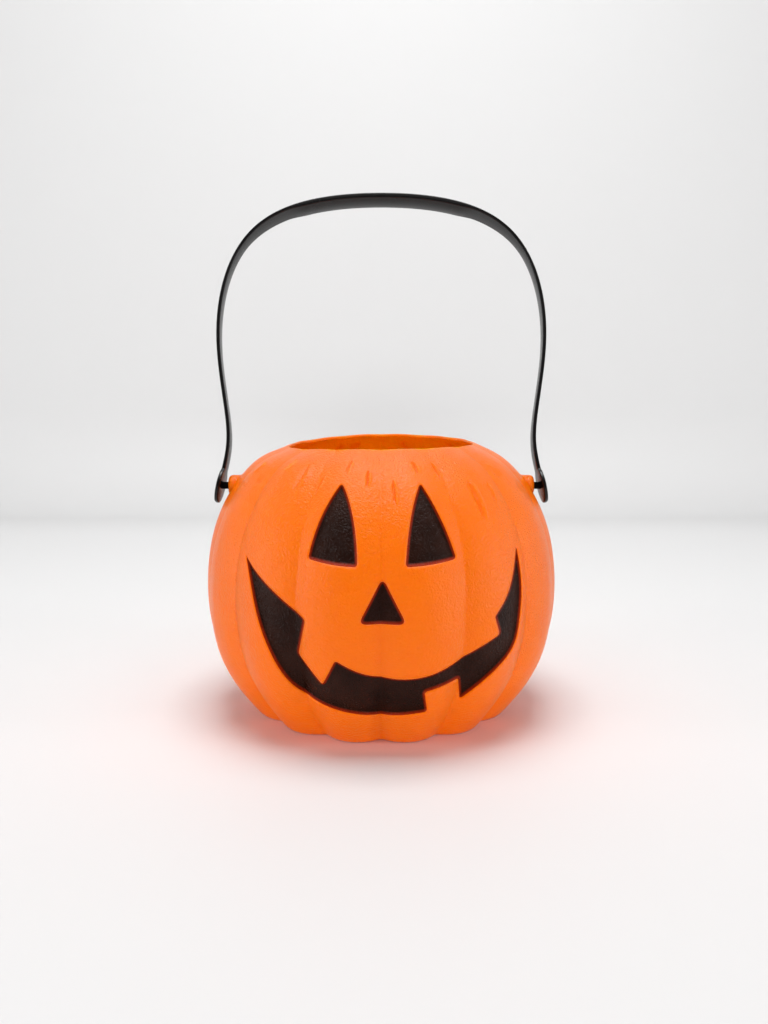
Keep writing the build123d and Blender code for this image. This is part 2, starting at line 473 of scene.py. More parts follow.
@dataclass(frozen=True)
class Finish:
    """A plastic or paint finish made of the shared groups."""

    name: str
    colour: Triple
    roughness: float
    roughness_swing: float
    tone_swing: float
    grain_depth: float
    grain_strength: float
    mirror_level: float
    translucency: float = 0.0
    light_reach: Triple = (4.0, 1.2, 0.2)
    grains_per_metre: float = 1000.0
    grain_waviness: float = 0.8
    patches_per_metre: float = 14.0
    marks_per_metre: float = 55.0

    def _group(self, tree: Tree, group: Tree, values: dict[str, object]) -> Socket:
        """Return the output of a shared group with its inputs set."""
        node = tree.nodes.new("ShaderNodeGroup")
        node.node_tree = group
        for name, value in values.items():
            node.inputs[name].default_value = value
        return node.outputs[0]

    def colour_socket(self, tree: Tree, groups: SharedGroups) -> Socket:
        """Return the socket that carries the base colour."""
        values = {
            "Colour": (*self.colour, 1.0),
            "Amount": self.tone_swing,
            "Patches per metre": self.patches_per_metre,
        }
        return self._group(tree, groups.tone, values)

    def material(self, groups: SharedGroups) -> Material:
        """Return the finish as a material."""
        made, tree, shader = new_material(self.name)
        shader.inputs["Specular IOR Level"].default_value = self.mirror_level
        shader.inputs["Subsurface Weight"].default_value = self.translucency
        shader.inputs["Subsurface Radius"].default_value = self.light_reach
        shader.inputs["Subsurface Scale"].default_value = MM
        tree.links.new(self.colour_socket(tree, groups), shader.inputs["Base Color"])
        marks = {
            "Roughness": self.roughness,
            "Amount": self.roughness_swing,
            "Marks per metre": self.marks_per_metre,
        }
        tree.links.new(self._group(tree, groups.marks, marks), shader.inputs["Roughness"])
        grain = {"Grains per metre": self.grains_per_metre, "Waviness": self.grain_waviness}
        bump = tree.nodes.new("ShaderNodeBump")
        bump.inputs["Strength"].default_value = self.grain_strength
        bump.inputs["Distance"].default_value = self.grain_depth * MM
        tree.links.new(self._group(tree, groups.grain, grain), bump.inputs["Height"])
        tree.links.new(bump.outputs["Normal"], shader.inputs["Normal"])
        return made


@dataclass(frozen=True)
class PaintFinish(Finish):
    """Sprayed paint that lets the shell show through where its edge is thin."""

    edge_colour: Triple = (0.3, 0.02, 0.003)
    edge_attribute: str = "thin_edge"

    def colour_socket(self, tree: Tree, groups: SharedGroups) -> Socket:
        """Return the paint's colour, mixed with the edge colour where the film is thin."""
        thin = tree.nodes.new("ShaderNodeAttribute")
        thin.attribute_name = self.edge_attribute
        mix = mixed_colour(tree, thin.outputs["Fac"])
        tree.links.new(super().colour_socket(tree, groups), mix.inputs["A"])
        mix.inputs["B"].default_value = (*self.edge_colour, 1.0)
        return mix.outputs["Result"]


ORANGE_PLASTIC = Finish(
    name="orange_polyethylene",
    colour=(1.0, 0.132, 0.0005),
    roughness=0.3,
    roughness_swing=0.1,
    tone_swing=0.05,
    grain_depth=0.6,
    grain_strength=1.0,
    mirror_level=0.22,
    translucency=0.62,
    light_reach=(20.0, 11.5, 0.8),
)
BLACK_PLASTIC = Finish(
    name="black_moulded_plastic",
    colour=(0.004, 0.0035, 0.0035),
    roughness=0.24,
    roughness_swing=0.14,
    tone_swing=0.3,
    grain_depth=0.1,
    grain_strength=0.4,
    mirror_level=0.26,
)
BLACK_PAINT = PaintFinish(
    name="black_sprayed_paint",
    colour=(0.015, 0.0045, 0.0025),
    roughness=0.25,
    roughness_swing=0.16,
    tone_swing=2.2,
    grain_depth=0.8,
    grain_strength=1.0,
    mirror_level=0.08,
    patches_per_metre=45.0,
)


# Pail


@dataclass
class ShellForm:
    """Outer form of the lobed shell, which its face, its bosses and its handle fit."""

    crest_radius: float = 108.7
    height: float = 165.8
    mouth_radius: float = 57.5
    wall: float = 1.8
    lobe_count: int = 14
    foot_valley: float = 8.4
    belly_valley: float = 3.3
    rim_valley: float = 0.8
    valley_fade: float = 0.2
    valley_round: float = 1.6
    lip_slope: float = radians(24)
    profile_shares: tuple[Pair, ...] = (
        (0.702, 0.0), (0.758, 0.026), (0.949, 0.224), (0.997, 0.516), (0.906, 0.754), (0.635, 0.959),
    )
    belly_share: float = 0.516
    box_share: float = 0.9999
    steepest_valley: float = 1.2
    most_sine: float = 0.999
    reach_rounds: int = 4

    def __post_init__(self) -> None:
        """Work out the crest line from the foot's edge to the mouth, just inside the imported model's box."""
        size = np.array([self.crest_radius, self.height])
        lip = np.array([[self.mouth_radius - self.wall, self.height]])
        knots = np.concatenate([np.array(self.profile_shares) * size, lip])
        slope = np.array([-cos(self.lip_slope), sin(self.lip_slope)])
        line = spline_points(knots, CURVE_POINTS, np.array([1.0, 0.0]), slope)
        reach = min(CAD_BOX[1][0], -CAD_BOX[0][0]) / MM
        line[:, 0] *= min(1.0, self.box_share * reach / line[:, 0].max())
        top = np.argmax(line[:, 0])
        end = top + np.argmax(line[top:, 0] < self.mouth_radius)
        self.crest_line = line[:end]

    def crest_at(self, z: Array) -> Array:
        """Return the distance of the crests from the axis at heights."""
        return np.interp(z, self.crest_line[:, 1], self.crest_line[:, 0])

    def valley_depth(self, z: Array) -> Array:
        """Return how deep the valleys between the lobes are at heights."""
        belly = self.belly_share * self.height
        low = self.foot_valley + (self.belly_valley - self.foot_valley) * np.clip(z / belly, 0.0, 1.0)
        left = np.clip((self.height - z) / (self.height - belly), 0.0, 1.0)
        high = np.maximum(self.rim_valley, self.belly_valley * left**self.valley_fade)
        return np.where(z < belly, low, high)

    def lobed_radius(self, crest: Array, depth: Array, angle: Array) -> Array:
        """Return the distance of the lobed surface from the axis.

        Args:
            crest: Distance of the crests from the axis.
            depth: Depth of the valleys.
            angle: Angle from the middle of the face.

        Returns:
            The distance at each place, with the valleys rounded.
        """
        half = pi / self.lobe_count
        to_valley = half - np.abs(np.mod(angle, 2.0 * half) - half)
        root = crest - depth
        reach = root * sin(half)
        rise = crest - root * cos(half)
        bow = (reach**2 + rise**2) / np.maximum(2.0 * rise, TINY)
        meet = np.arcsin(np.clip(reach / bow, 0.0, self.most_sine)) - half
        soft = self.valley_round * np.tan(np.clip(meet, 0.0, self.steepest_valley)) / np.maximum(root, 1.0)
        turn = half - np.sqrt(to_valley**2 + soft**2)
        centre = crest - bow
        return centre * np.cos(turn) + np.sqrt(np.maximum(bow**2 - (centre * np.sin(turn)) ** 2, 0.0))

    def side_reach(self, y: Array, z: Array) -> Array:
        """Return the distance along X of the surface at the pail's sides, above points of the YZ plane."""
        reach = self.crest_at(z)
        for _ in range(self.reach_rounds):
            angle = np.arctan2(reach, -y)
            radius = self.lobed_radius(self.crest_at(z), self.valley_depth(z), angle)
            reach = np.sqrt(np.maximum(radius**2 - y**2, 1.0))
        return reach


@dataclass
class FaceOutlines:
    """Outlines of the sunken eyes, nose and grin, seen from the front, as shares of the shell's size."""

    form: ShellForm
    corner_round: float = 1.9
    nose_round: float = 4.6
    tip_round: float = 0.9
    pitch: float = 0.6
    side_samples: int = 160
    left_eye: tuple[Pair, ...] = (
        (-0.193, 0.892), (-0.135, 0.789), (-0.114, 0.645), (-0.232, 0.650), (-0.353, 0.662), (-0.292, 0.788),
    )
    right_eye: tuple[Pair, ...] = (
        (0.195, 0.892), (0.147, 0.789), (0.121, 0.645), (0.240, 0.650), (0.367, 0.661), (0.293, 0.784),
    )
    nose: tuple[Pair, ...] = ((0.009, 0.610), (0.125, 0.464), (-0.108, 0.464))
    left_tip: Pair = (-0.685, 0.645)
    right_tip: Pair = (0.692, 0.671)
    left_lip: Pair = (-0.581, 0.574)
    upper_tooth: tuple[Pair, ...] = ((-0.372, 0.466), (-0.410, 0.345), (-0.288, 0.250), (-0.222, 0.342))
    smile: tuple[Pair, ...] = ((-0.069, 0.292), (0.082, 0.277), (0.260, 0.292), (0.439, 0.343))
    cheek_notch: tuple[Pair, ...] = ((0.598, 0.399), (0.570, 0.461))
    right_lip: tuple[Pair, ...] = ((0.630, 0.518), (0.667, 0.585))
    right_jaw: tuple[Pair, ...] = ((0.718, 0.530), (0.706, 0.422), (0.681, 0.351), (0.575, 0.272))
    lower_tooth: tuple[Pair, ...] = ((0.401, 0.172), (0.388, 0.258), (0.214, 0.229), (0.231, 0.149))
    chin: tuple[Pair, ...] = (
        (0.115, 0.138), (0.006, 0.130), (-0.131, 0.143), (-0.314, 0.177), (-0.408, 0.208),
    )
    left_jaw: tuple[Pair, ...] = ((-0.538, 0.320), (-0.624, 0.470), (-0.668, 0.599))

    def _sized(self, shares: tuple[Pair, ...]) -> Array:
        """Return points in millimetres, as X and Z."""
        return np.array(shares) * np.array([self.form.crest_radius, self.form.height])

    def _straights(self, shares: tuple[Pair, ...]) -> list[Array]:
        """Return the straight sides from each place to the next one."""
        points = self._sized(shares)
        return [np.linspace(start, end, self.side_samples) for start, end in zip(points[:-1], points[1:])]

    def _curve(self, shares: tuple[Pair, ...], samples: int) -> list[Array]:
        """Return one smooth side through places."""
        return [spline_points(self._sized(shares), samples)]

    def eye(self, shares: tuple[Pair, ...]) -> Array:
        """Return an eye's loop from corners that alternate with the middles of its bowed sides."""
        points = self._sized((*shares, shares[0]))
        sides = [arc_points(*points[i : i + 3], self.side_samples) for i in range(0, len(shares), 2)]
        return rounded_loop(sides, [self.corner_round] * len(sides), self.pitch)

    def nose_loop(self) -> Array:
        """Return the nose's loop."""
        sides = self._straights((*self.nose, self.nose[0]))
        return rounded_loop(sides, [self.nose_round] * len(sides), self.pitch)

    def mouth_loop(self) -> Array:
        """Return the grin's loop, which is sharpest at its left tip and at the notch's upper corner."""
        hang, notch, stand = self.upper_tooth, self.cheek_notch, self.lower_tooth
        count = self.side_samples
        sides = [arc_points(*self._sized((self.left_tip, self.left_lip, hang[0])), count)]
        sides += self._straights(hang)
        sides += self._curve((hang[-1], *self.smile, notch[0]), count)
        sides += self._straights(notch)
        sides += self._curve((notch[-1], *self.right_lip, self.right_tip), count)
        sides += self._curve((self.right_tip, *self.right_jaw, stand[0]), count)
        sides += self._straights(stand)
        sides += self._curve((stand[-1], *self.chin, *self.left_jaw, self.left_tip), 2 * count)
        rounds = [self.corner_round] * len(sides)
        for sharp in (0, len(hang) + len(notch)):
            rounds[sharp] = self.tip_round
        return rounded_loop(sides, rounds, self.pitch)

    def loops(self) -> dict[str, Array]:
        """Return each sunken feature's loop by the name of its paint node."""
        return {
            "left_eye_paint": self.eye(self.left_eye),
            "right_eye_paint": self.eye(self.right_eye),
            "nose_paint": self.nose_loop(),
            "mouth_paint": self.mouth_loop(),
        }


@dataclass(frozen=True)
class Wrinkle:
    """A short groove pressed into the shoulder, from one place to another by angle and height."""

    angle_from: float
    height_from: float
    angle_to: float
    height_to: float
    half_width: float = 0.75
    depth: float = 0.9
    fold: float = 0.6
    fold_place: float = 1.9
    tip_width: float = 0.35

    def dent(self, across: Array, up: Array, lean: float, rise: float, grow: float) -> Array:
        """Return how deep the groove is.

        Args:
            across: Distance of each column from the groove's lower end, round the pail.
            up: Distance of each row from it, up the skin.
            lean: How far the groove's upper end lies beside its lower one.
            rise: How far it lies above it.
            grow: How much wider the groove is, which is 0 only where it has a fold beside it.

        Returns:
            The depth by row and column, below zero on the fold.
        """
        length = np.hypot(lean, rise)
        beside, above = across[None, :] / length, up[:, None] / length
        share = beside * (lean / length) + above * (rise / length)
        off = beside * rise - above * lean
        swell = np.sqrt(np.clip(4.0 * share * (1.0 - share), 0.0, 1.0))
        wide = self.half_width * (self.tip_width + (1.0 - self.tip_width) * swell) + grow
        fold = 0.0 if grow else self.fold
        pressed = np.exp(-((off / wide) ** 2)) - fold * np.exp(-((off / wide - self.fold_place) ** 2))
        return self.depth * ease(swell) * pressed


WRINKLES = (
    Wrinkle(-33.7, 144.1, -33.8, 156.6, 1.8, 1.1),
    Wrinkle(-45.0, 152.1, -43.7, 159.2),
    Wrinkle(-24.8, 141.7, -23.2, 151.8),
    Wrinkle(-5.1, 146.4, -5.3, 154.8),
    Wrinkle(4.9, 137.9, 4.7, 150.0),
    Wrinkle(15.2, 152.7, 14.3, 159.0),
    Wrinkle(24.5, 149.9, 23.4, 157.9),
    Wrinkle(35.7, 127.0, 35.7, 148.4, 1.4, 1.1),
    Wrinkle(44.5, 136.5, 45.0, 146.4),
    Wrinkle(-57.0, 141.0, -55.5, 149.0),
    Wrinkle(-66.5, 147.5, -65.0, 155.5),
    Wrinkle(-14.5, 153.5, -13.5, 159.5),
    Wrinkle(56.5, 146.0, 55.0, 155.0),
    Wrinkle(65.0, 138.0, 66.0, 147.0),
)


@dataclass
class PailShell:
    """Hollow lobed shell with its sunken face, its hinge bosses and its raised foot panel."""

    form: ShellForm
    outlines: FaceOutlines
    recess_depth: float = 2.6
    recess_inner_edge: float = 1.5
    recess_outer_edge: float = 1.0
    recess_margin: float = 6.0
    beyond_recess: float = 1000.0
    least_facing: float = 0.4
    row_pitch: float = 0.5
    inner_row_pitch: float = 1.5
    front_lobes: int = 4
    front_columns: int = 107
    lobe_columns: tuple[float, ...] = (
        0.0, 0.2, 0.45, 0.8, 1.3, 2.0, 3.0, 4.5, 6.5, 9.0, 12.2, 12.55, 12.75,
    )
    foot_ring_width: float = 6.5
    foot_panel_rise: float = 4.0
    foot_panel_draft: float = radians(20)
    foot_panel_rings: tuple[float, ...] = (8.0, 20.0, 34.0, 46.0, 54.0)
    foot_edge_round: float = 0.6
    foot_edge_bend: Triple = (1.2, 0.48, 0.08)
    foot_rows: int = 7
    floor_rows: int = 5
    floor_gap: float = 0.036
    rim_gap: float = 0.6
    rim_round: float = 1.2
    rim_lift: float = 0.12
    rim_inner_share: float = 0.3
    rim_valley_share: float = 0.4
    rim_turns: tuple[float, ...] = (20.0, 40.0, 60.0, 75.0, 90.0)
    rim_dips: tuple[float, float, float, float] = (0.3, 1.2, 0.0, 2.8)
    rim_ripple: float = 0.1
    ripple_waves: float = 5.0
    ripple_start: float = 0.7
    rim_zone: Pair = (80.0, 58.0)
    seam_height: float = 0.12
    seam_half_width: float = 0.35
    seam_room: float = 2.0
    pivot_drop: float = 28.8
    boss_radius: float = 6.5
    boss_start_share: float = 0.5
    boss_round: float = 2.4
    boss_turns: tuple[float, ...] = (0.0, 15.0, 30.0, 45.0, 60.0, 75.0, 90.0)
    boss_fillet: float = 1.6
    fillet_rows: int = 8
    skirt_sink: float = 0.05
    skirt_bury: float = 0.9
    boss_bury: float = 1.0
    bore_radius: float = 2.5
    bore_depth: float = 18.0
    bore_overrun: float = 6.0
    bore_chamfer: float = 0.35
    chamfer_lift: float = 0.01
    disc_radius: float = 10.8
    disc_clearance: float = 0.5
    pin_reach: float = 3.8
    around: int = 72

    def __post_init__(self) -> None:
        """Work out the columns, the places of the hinge and the face's loops."""
        form = self.form
        self.pivot_height = form.height - self.pivot_drop
        self.disc_face = float(form.crest_at(self.pivot_height - self.disc_radius)) + self.disc_clearance
        self.boss_reach = self.disc_face - self.pin_reach
        self.loops = self.outlines.loops()
        self.angles = self._columns()

    def _columns(self) -> Array:
        """Return the angles of the grid's columns, close together at the face and in the valleys."""
        lobe = 2.0 * pi / self.form.lobe_count
        front = np.linspace(0.0, lobe, self.front_columns, endpoint=False)
        side = np.radians(self.lobe_columns)
        plain = np.concatenate([side, [lobe / 2.0], (lobe - side[1:])[::-1]])
        lobes = []
        for index in range(self.form.lobe_count):
            start = (index - self.form.lobe_count // 2) * lobe
            middle = abs(start + lobe / 2.0) < self.front_lobes / 2.0 * lobe
            lobes.append(start + (front if middle else plain))
        return np.concatenate(lobes)

    def _rows(self, pitch: float) -> tuple[Array, Array]:
        """Return points of the crest line at a pitch, and their outward normals."""
        line = self.form.crest_line
        length = arc_lengths(line)[-1]
        points = along(line, np.linspace(0.0, length, int(length / pitch)))
        runs = np.gradient(points, axis=0)
        runs /= np.linalg.norm(runs, axis=1)[:, None]
        return points, np.stack([runs[:, 1], -runs[:, 0]], axis=1)

    def _surface(self, crest: Array, z: Array, depth: Array) -> Array:
        """Return grid points for rows given by crest, height and valley depth."""
        radius = self.form.lobed_radius(crest[:, None], depth[:, None], self.angles[None, :])
        heights = np.broadcast_to(z[:, None], radius.shape)
        return np.stack([radius * np.sin(self.angles), -radius * np.cos(self.angles), heights], axis=-1)

    def _outward(self, normals: Array) -> Array:
        """Return the outward directions of a skin by row and column, from its crest line's normals."""
        rise = np.broadcast_to(normals[:, 1:], (len(normals), len(self.angles)))
        flat = normals[:, :1]
        return np.stack([flat * np.sin(self.angles), -flat * np.cos(self.angles), rise], axis=-1)

    def _face_distance(self, grid: Array, loop: Array, margin: float) -> Array:
        """Return how far grid points at the front lie outside a loop, and a large number elsewhere."""
        found = np.full(grid.shape[:2], self.beyond_recess)
        flat = grid[..., (0, 2)]
        low = loop.min(axis=0) - margin
        high = loop.max(axis=0) + margin
        near = ((flat > low) & (flat < high)).all(axis=-1) & (grid[..., 1] < 0.0)
        found[near] = signed_distance(flat[near], loop)
        return found

    def _sink_face(self, grid: Array, normals: Array, grow: float) -> dict[str, Array]:
        """Push the face's features into a skin of the shell.

        Args:
            grid: Points of the skin by row and column, which are moved.
            normals: Outward normals of the crest line, by row.
            grow: How far the features' edges are moved outwards.

        Returns:
            The distance of each point outside each feature, by the name of its paint node.
        """
        facing = np.maximum(normals[:, :1] * np.cos(self.angles)[None, :], self.least_facing)
        width = self.recess_inner_edge + self.recess_outer_edge
        still = grid.copy()
        found = {}
        for name, loop in self.loops.items():
            found[name] = self._face_distance(still, loop, self.recess_margin + grow) - grow
            sunk = ease((self.recess_outer_edge - found[name]) / width)
            grid[..., 1] += sunk * self.recess_depth / facing
        return found

    def _press_wrinkles(self, grid: Array, normals: Array, grow: float) -> None:
        """Press the shoulder's wrinkles into a skin of the shell, at the front and again at the back.

        Args:
            grid: Points of the skin by row and column, which are moved.
            normals: Outward normals of the crest line, by row.
            grow: How much wider the grooves are, which is 0 at the outer skin.
        """
        heights = grid[:, 0, 2]
        run = arc_lengths(np.stack([np.hypot(grid[:, 0, 0], grid[:, 0, 1]), heights], axis=1))
        outward = self._outward(normals)
        for wrinkle in WRINKLES:
            low, high = np.interp([wrinkle.height_from, wrinkle.height_to], heights, run)
            radius = float(self.form.crest_at((wrinkle.height_from + wrinkle.height_to) / 2.0))
            start = radians(wrinkle.angle_from)
            lean = (radians(wrinkle.angle_to) - start) * radius
            for turn in (0.0, pi):
                across = (np.mod(self.angles - start - turn + pi, 2.0 * pi) - pi) * radius
                grid -= wrinkle.dent(across, run - low, lean, high - low, grow)[..., None] * outward

    def _raise_seam(self, grid: Array, normals: Array) -> None:
        """Raise the mould's parting line at the left and right, but not at the widest part of the belly."""
        off = np.abs(np.mod(self.angles, pi) - pi / 2.0) * self.form.crest_radius
        lift = self.seam_height * np.exp(-((off / self.seam_half_width) ** 2))[None, :]
        room = np.hypot(grid[..., 0], grid[..., 1]) < self.form.crest_radius - self.seam_room
        grid[..., :2] += (lift * room)[..., None] * self._outward(normals)[..., :2]

    def _wave(self, grid: Array) -> None:
        """Lower the mouth's edge at the front, right, back and left, as the trimmed plastic dips."""
        radius = np.hypot(grid[..., 0], grid[..., 1])
        first, last = self.rim_zone
        share = ease((first - radius) / (first - last)) * (grid[..., 2] > self.pivot_height)
        turn = self.angles[None, :]
        front, right, back, left = self.rim_dips
        dip = (front + right + back + left) / 4.0
        dip = dip + (front - back) / 2.0 * np.cos(turn) + (right - left) / 2.0 * np.sin(turn)
        dip = dip + (front + back - right - left) / 4.0 * np.cos(2.0 * turn)
        slow = np.sin(self.ripple_waves * turn + self.ripple_start)
        ripple = 2.0 + np.cos(self.form.lobe_count * turn) + slow  # never above the edge
        grid[..., 2] -= share * (dip + self.rim_ripple * ripple)

    def build(self) -> Piece:
        """Return the shell as one closed mesh, and keep the outer skin for the paint."""
        form = self.form
        points, normals = self._rows(self.row_pitch)
        outer = self._surface(points[:, 0], points[:, 1], form.valley_depth(points[:, 1]))
        self.skin_distance = self._sink_face(outer, normals, 0.0)
        self._press_wrinkles(outer, normals, 0.0)
        self._raise_seam(outer, normals)
        self.skin = outer

        inside, inside_normals = self._rows(self.inner_row_pitch)
        offset = inside - form.wall * inside_normals
        keep = (offset[:, 1] > form.wall + self.floor_gap) & (inside[:, 1] < points[-1, 1] - self.rim_gap)
        offset, inside_normals = offset[keep], inside_normals[keep]
        inner = self._surface(offset[:, 0], offset[:, 1], form.valley_depth(offset[:, 1]))
        self._sink_face(inner, inside_normals, form.wall)
        self._press_wrinkles(inner, inside_normals, form.wall)
        rim = self._rim(points[-1], normals[-1])
        for skin in (outer, inner, rim):
            self._wave(skin)

        foot, floor = self._foot(0.0, self.foot_rows), self._foot(form.wall, self.floor_rows)
        grid = np.concatenate([foot, outer[1:], rim, inner[::-1], floor[::-1]])
        draft = MeshDraft()
        centres = [np.array([0.0, 0.0, grid[row, 0, 2]]) for row in (0, -1)]
        draft.add_tube(grid, *centres)
        shell = draft.make("lobed_shell")
        combine(shell, self._bosses(), Cut.JOIN)
        combine(shell, self._bores(), Cut.REMOVE)
        return shell

    def _foot(self, lift: float, rows: int) -> Array:
        """Return the raised foot panel and the standing ring, or the floor above them.

        Args:
            lift: 0 for the underside and the wall's thickness for the floor inside.
            rows: How many rows the standing ring has.

        Returns:
            Grid points from near the middle to the foot's edge.
        """
        form = self.form
        edge = form.crest_line[0, 0] - lift
        ring = form.crest_line[0, 0] - form.foot_valley - self.foot_ring_width + lift
        slope = tan(self.foot_panel_draft)
        top = self.foot_panel_rise + lift
        shoulder = ring - self.foot_panel_rise * slope
        soft = self.foot_edge_round
        far, near, dip = self.foot_edge_bend
        panel = np.array(
            [(radius, top) for radius in self.foot_panel_rings]
            + [
                (shoulder - far, top),
                (shoulder - near, top - dip),
                (shoulder + soft * slope, top - soft),
                (ring - soft * slope, lift + soft),
                (ring + near, lift + dip),
                (ring + far, lift),
            ]
        )
        share = np.linspace(0.0, 1.0, rows + 1)[1:]
        crest = np.concatenate([panel[:, 0], panel[-1, 0] + share * (edge - panel[-1, 0])])
        z = np.concatenate([panel[:, 1], np.full(rows, lift)])
        depth = np.concatenate([np.zeros(len(panel)), form.foot_valley * share])
        return self._surface(crest, z, depth)

    def _rim(self, end: Array, normal: Array) -> Array:
        """Return the rounded rim between the outer and the inner skin, from the outer skin's last row."""
        turn = np.radians(self.rim_turns)
        soft = self.rim_round
        radius = end[0] - soft * np.sin(turn)
        upper = end[1] + self.rim_lift - soft * (1.0 - np.cos(turn))
        inner_edge = end[1] - self.form.wall / normal[1]
        lower = inner_edge + self.rim_inner_share * soft * (1.0 - np.cos(turn[::-1]))
        crest = np.concatenate([radius, radius[::-1]])
        depth = np.full(len(crest), self.form.rim_valley * self.rim_valley_share)
        return self._surface(crest, np.concatenate([upper, lower]), depth)

    def _bosses(self) -> Piece:
        """Return both hinge bosses, with a fillet to the shoulder, as a tool mesh."""
        turn = np.linspace(0.0, 2.0 * pi, self.around, endpoint=False)
        skirt_radius = self.boss_radius + self.boss_fillet
        foot, skirt = (
            self.form.side_reach(radius * np.cos(turn), self.pivot_height + radius * np.sin(turn))
            for radius in (self.boss_radius, skirt_radius)
        )
        skirt = skirt - self.skirt_sink
        start = np.minimum(foot + self.boss_fillet, self.boss_reach - self.boss_round)
        buried = np.minimum(skirt - self.skirt_bury, self.boss_reach - self.form.wall - self.boss_bury)
        rings = [(self.boss_start_share * self.bore_radius, self.boss_reach)]
        for bend in np.radians(self.boss_turns):
            radius = self.boss_radius - self.boss_round * (1.0 - sin(bend))
            rings.append((radius, self.boss_reach - self.boss_round * (1.0 - cos(bend))))
        for t in np.linspace(0.0, 1.0, self.fillet_rows)[1:]:
            radius = bent(t, self.boss_radius, self.boss_radius, skirt_radius)
            rings.append((radius, bent(t, start, np.minimum(foot, start), skirt)))
        rings += [(skirt_radius, buried), (self.boss_radius - self.form.wall, buried)]
        draft = MeshDraft()
        draft.add_turned(rings, self.pivot_height, self.around)
        return draft.make("boss_tool")

    def _bores(self) -> Piece:
        """Return the hollows behind both bosses and the holes for the pins as a tool mesh."""
        hollow = self.boss_radius - self.form.wall
        floor = self.boss_reach - self.form.wall
        wide = self.bore_radius + self.bore_chamfer
        rings = [
            (hollow, self.boss_reach - self.bore_depth),
            (hollow, floor),
            (self.bore_radius, floor),
            (self.bore_radius, self.boss_reach - self.bore_chamfer),
            (wide, self.boss_reach + self.chamfer_lift),
            (wide, self.boss_reach + self.bore_overrun),
        ]
        draft = MeshDraft()
        draft.add_turned(rings, self.pivot_height, self.around)
        return draft.make("bore_tool")


@dataclass
class FacePaint:
    """Thin sprayed films that line the sunken features."""

    shell: PailShell
    film: float = 0.12
    sunk: float = 0.2
    edge: float = 0.1
    edge_film: float = 0.15
    edge_blend: float = 0.6
    thin_band: float = 1.7
    margin: float = 1.0
    least_share: float = 0.02

    def _clip(self, level: Array) -> tuple[Array, Array, list[tuple[int, ...]], list[tuple[int, int]]]:
        """Cut a grid along the line where a level is zero, and keep what lies below.

        Args:
            level: The level at each grid point.

        Returns:
            For each kept point the grid point it starts from and, as row and column shares, how far it
            is moved towards the next one; the polygons; and the edges along the cut.
        """
        inside = level < 0.0
        number: dict[tuple[int, int, bool, bool], int] = {}
        places: list[tuple[int, int]] = []
        shifts: list[tuple[float, float]] = []

        def point(row: int, column: int, down: float = 0.0, right: float = 0.0) -> int:
            """Return the number of a point at a grid point, or part of the way to the next one."""
            key = (row, column, down > 0.0, right > 0.0)
            if key not in number:
                number[key] = len(places)
                places.append((row, column))
                shifts.append((down, right))
            return number[key]

        def crossing(row: int, column: int, down: bool) -> int:
            """Return the number of the cut on the grid line from a point to the next row or column."""
            here = level[row, column]
            beyond = level[row + 1, column] if down else level[row, column + 1]
            share = float(np.clip(here / (here - beyond), self.least_share, 1.0 - self.least_share))
            return point(row, column, share, 0.0) if down else point(row, column, 0.0, share)

        polygons: list[tuple[int, ...]] = []
        cuts: list[tuple[int, int]] = []
        touched = inside[:-1, :-1] | inside[:-1, 1:] | inside[1:, 1:] | inside[1:, :-1]
        for row, column in np.argwhere(touched).tolist():
            below, beside = row + 1, column + 1
            loop = ((row, column), (row, beside), (below, beside), (below, column))
            lines = ((row, column, False), (row, beside, True), (below, column, False), (row, column, True))
            ids: list[int] = []
            leaving: list[int] = []
            entering: list[int] = []
            for i, corner in enumerate(loop):
                here = inside[corner]
                if here:
                    ids.append(point(*corner))
                if here != inside[loop[(i + 1) % len(loop)]]:
                    (leaving if here else entering).append(len(ids))
                    ids.append(crossing(*lines[i]))
            polygons.append(tuple(ids))
            for position in leaving:
                following = (position + 1) % len(ids)
                if following in entering:
                    cuts.append((ids[position], ids[following]))
        return np.array(places), np.array(shifts), polygons, cuts

    def build(self, name: str) -> Piece:
        """Return one feature's film as a closed mesh with its thin edge marked.

        Args:
            name: Name of the feature's paint node.

        Returns:
            The film's object.
        """
        distance = self.shell.skin_distance[name] - self.edge
        rows, columns = (np.flatnonzero((distance < self.margin).any(axis=axis)) for axis in (1, 0))
        block = np.s_[rows[0] - 1 : rows[-1] + 2, columns[0] - 1 : columns[-1] + 2]
        level = distance[block]
        skin = self.shell.skin[block]
        normal = np.cross(np.gradient(skin, axis=1), np.gradient(skin, axis=0))
        normal /= np.linalg.norm(normal, axis=-1)[..., None]
        places, shifts, polygons, cuts = self._clip(level)
        start = tuple(places.T)
        end = tuple((places + (shifts > 0.0)).T)
        share = shifts.sum(axis=1)

        def between(values: Array) -> Array:
            """Return grid values at the film's points."""
            part = share.reshape(-1, *[1] * (values.ndim - 2))
            return values[start] * (1.0 - part) + values[end] * part

        here, facing, inward = between(skin), between(normal), -between(level)
        thick = self.film * (self.edge_film + (1.0 - self.edge_film) * ease(inward / self.edge_blend))
        draft = MeshDraft()
        front = draft.add_points(here + facing * thick[:, None])
        back = draft.add_points(here - facing * self.sunk)
        for size in sorted({len(polygon) for polygon in polygons}):
            group = np.array([polygon for polygon in polygons if len(polygon) == size])
            draft.add_polygons(group + front)
            draft.add_polygons(group[:, ::-1] + back)
        first, second = np.array(cuts).T
        draft.add_polygons(np.stack([second, first, first + back, second + back], axis=-1))
        made = draft.make(name.replace("_paint", "_film"))
        thin = 1.0 - ease(inward / self.thin_band)
        mark = made.data.attributes.new(BLACK_PAINT.edge_attribute, "FLOAT", "POINT")
        mark.data.foreach_set("value", np.concatenate([thin, thin]).astype(np.float32))
        return made


# Handle


